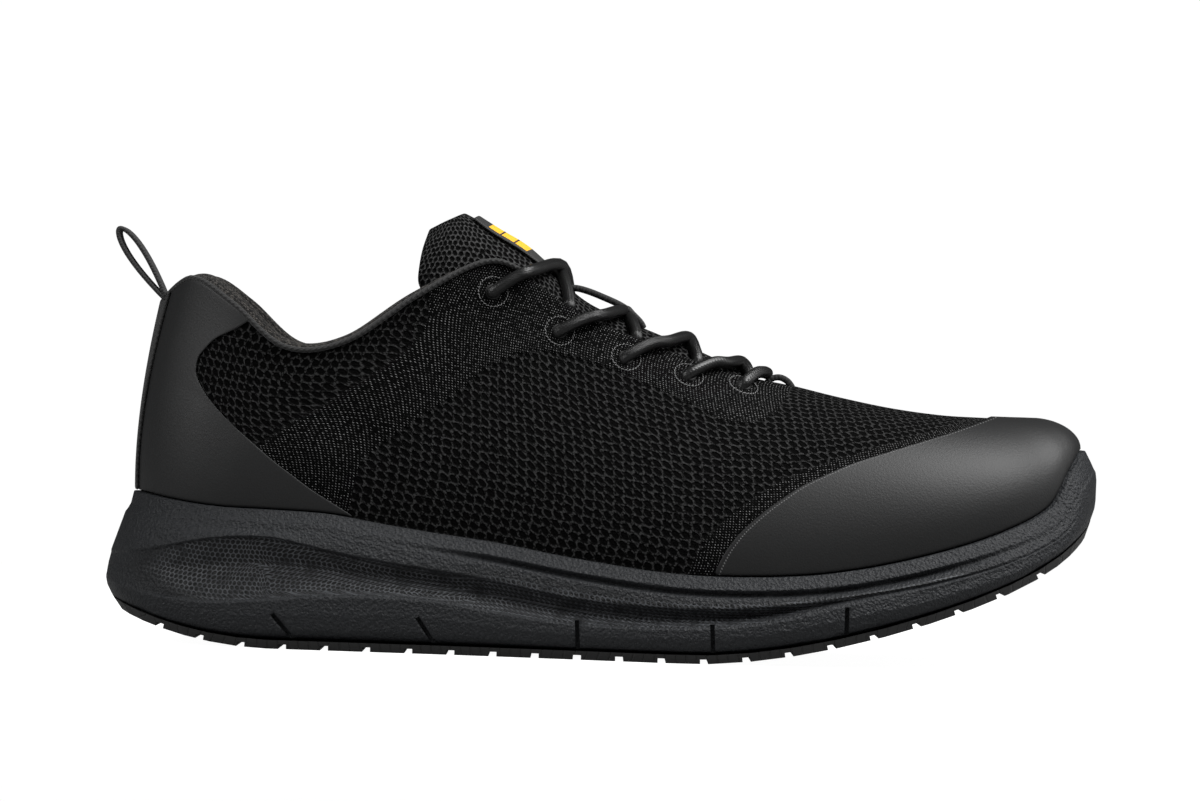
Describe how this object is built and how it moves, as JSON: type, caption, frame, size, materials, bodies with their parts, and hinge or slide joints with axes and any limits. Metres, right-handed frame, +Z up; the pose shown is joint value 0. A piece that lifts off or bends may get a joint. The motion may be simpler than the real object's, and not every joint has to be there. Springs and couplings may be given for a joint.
{
  "type": "safety sneaker",
  "caption": "Black knitted work sneaker for the right foot, with film toe guard and heel counter, round laces, padded tongue, heel pull loop and foam sole on a lugged rubber tread",
  "frame": {"origin": "centre of the footprint's bounding box, on the floor under the sole", "axes": "+X to the toe, +Y to the inner side of the right foot, +Z up"},
  "size_m": [0.3, 0.1082, 0.1322],
  "materials": {
    "rubber": "matte black rubber tread",
    "foam": "grained dark foam moulding",
    "knit": "black knitted fabric",
    "film": "smooth satin film",
    "cord": "round waxed cord",
    "webbing": "woven webbing"
  },
  "bodies": {
    "root": {"outsole": "rubber", "midsole": "foam", "insole": "knit", "upper": "knit", "toe_guard": "film", "heel_counter": "film", "tongue": "knit", "tongue_label": "webbing", "lace_keeper": "webbing", "throat_loop": "webbing", "heel_tape": "webbing", "pull_loop": "webbing", "lace_front_bar": "cord", "lace_cross_1": "cord", "lace_cross_2": "cord", "lace_cross_3": "cord", "lace_cross_4": "cord", "eyelet_outer_1": "cord", "eyelet_outer_2": "cord", "eyelet_outer_3": "cord", "eyelet_outer_4": "cord", "eyelet_outer_5": "cord", "eyelet_inner_1": "cord", "eyelet_inner_2": "cord", "eyelet_inner_3": "cord", "eyelet_inner_4": "cord", "eyelet_inner_5": "cord"}
  },
  "joints": []
}
